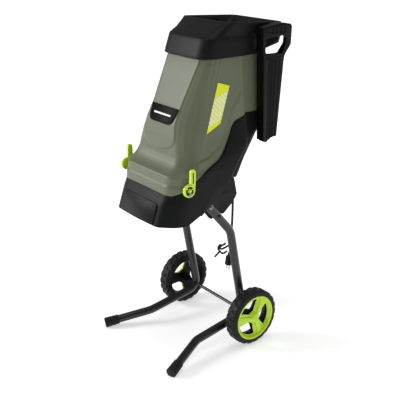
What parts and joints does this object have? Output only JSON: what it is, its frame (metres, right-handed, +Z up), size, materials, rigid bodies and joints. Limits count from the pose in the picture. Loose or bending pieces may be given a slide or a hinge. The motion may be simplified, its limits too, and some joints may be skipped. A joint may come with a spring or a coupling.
{
  "type": "wood chipper",
  "caption": "Electric garden wood chipper: hopper hood hinged on a dark tub, plunger on its side, on a bent-tube stand with two wheels.",
  "frame": {"origin": "on the ground under the centre of the machine's bounding box, without the cord", "axes": "+Z up; +X to the machine's right, along the axle; -Y to the front, where the feet and the label are"},
  "size_m": [0.3836, 0.4642, 0.944],
  "materials": {
    "sage": "fine-grained moulded polypropylene, satin sage green",
    "black_plastic": "textured black moulded plastic",
    "cap_plastic": "satin black moulded plastic",
    "lime": "glossy lime moulded plastic",
    "rubber": "black rubber",
    "tyre": "moulded black tyre with stepped lugs",
    "tube_paint": "dark graphite powder coat, satin",
    "steel": "bright steel",
    "label": "black blank label plate",
    "red": "red button",
    "green": "green button",
    "nickel": "nickel-plated brass"
  },
  "bodies": {
    "stand": {"left_leg_tube": "tube_paint", "left_foot_cap": "rubber", "left_leg_bolt_upper": "steel", "left_leg_bolt_lower": "steel", "left_push_nut": "steel", "left_wheel_spacer": "black_plastic", "left_latch_pin": "steel", "right_leg_tube": "tube_paint", "right_foot_cap": "rubber", "right_leg_bolt_upper": "steel", "right_leg_bolt_lower": "steel", "right_push_nut": "steel", "right_wheel_spacer": "black_plastic", "right_latch_pin": "steel", "axle_rod": "steel", "base_housing": "black_plastic", "hinge_pin": "steel", "motor_cover": "black_plastic", "motor_body": "steel", "motor_plate": "steel", "chip_deflector": "steel", "switch_box": "black_plastic", "interlock_switch": "black_plastic", "cord_relief": "rubber", "power_cord": "rubber", "plug_body": "rubber", "plug_pin_a": "nickel", "plug_pin_b": "nickel", "cable_hook": "rubber"},
    "left_wheel": {"left_tyre": "tyre", "left_wheel_body": "black_plastic", "left_hub_trim": "lime"},
    "right_wheel": {"right_tyre": "tyre", "right_wheel_body": "black_plastic", "right_hub_trim": "lime"},
    "rotor": {"motor_shaft": "steel", "blade_disc": "steel", "disc_nut": "steel", "blade_a": "steel", "blade_b": "steel", "blade_screw_a": "steel", "blade_screw_b": "steel"},
    "hood": {"hood_shell": "sage", "hopper_cap": "cap_plastic", "splash_guard": "rubber", "feed_throat": "black_plastic", "label_plate": "label", "left_side_decal": "lime", "right_side_decal": "lime", "pusher_holder": "black_plastic"},
    "pusher_body": {"pusher": "black_plastic"},
    "left_latch": {"left_latch_lever": "lime"},
    "right_latch": {"right_latch_lever": "lime"},
    "on_switch": {"on_button": "green"},
    "off_switch": {"off_button": "red"},
    "reset_switch": {"reset_button": "black_plastic"}
  },
  "joints": [
    {"name": "left_wheel_spin", "type": "hinge", "parent": "stand", "child": "left_wheel", "pos_m": [-0.167, 0.07813, 0.086], "axis": [1, 0, 0], "continuous": true},
    {"name": "right_wheel_spin", "type": "hinge", "parent": "stand", "child": "right_wheel", "pos_m": [0.167, 0.07813, 0.086], "axis": [1, 0, 0], "continuous": true},
    {"name": "rotor_spin", "type": "hinge", "parent": "stand", "child": "rotor", "pos_m": [0, -0.06318, 0.51672], "axis": [0, -0.8221, 0.5693], "continuous": true},
    {"name": "hood_tilt", "type": "hinge", "parent": "stand", "child": "hood", "pos_m": [0, 0.17613, 0.668], "axis": [-1, 0, 0], "range_deg": [0, 65]},
    {"name": "pusher_lift", "type": "slide", "parent": "hood", "child": "pusher_body", "axis": [0, 0, 1], "range_m": [0, 0.25]},
    {"name": "left_latch_turn", "type": "hinge", "parent": "stand", "child": "left_latch", "pos_m": [-0.1483, -0.13987, 0.518], "axis": [1, 0, 0], "range_deg": [0, 100]},
    {"name": "right_latch_turn", "type": "hinge", "parent": "stand", "child": "right_latch", "pos_m": [0.1483, -0.13987, 0.518], "axis": [1, 0, 0], "range_deg": [0, 100]},
    {"name": "on_press", "type": "slide", "parent": "stand", "child": "on_switch", "axis": [1, 0, 0], "range_m": [0, 0.003], "stiffness_N_per_m": 400, "springref_m": -0.001},
    {"name": "off_press", "type": "slide", "parent": "stand", "child": "off_switch", "axis": [1, 0, 0], "range_m": [0, 0.003], "stiffness_N_per_m": 400, "springref_m": -0.001},
    {"name": "reset_press", "type": "slide", "parent": "stand", "child": "reset_switch", "axis": [1, 0, 0], "range_m": [0, 0.003], "stiffness_N_per_m": 400, "springref_m": -0.001}
  ]
}
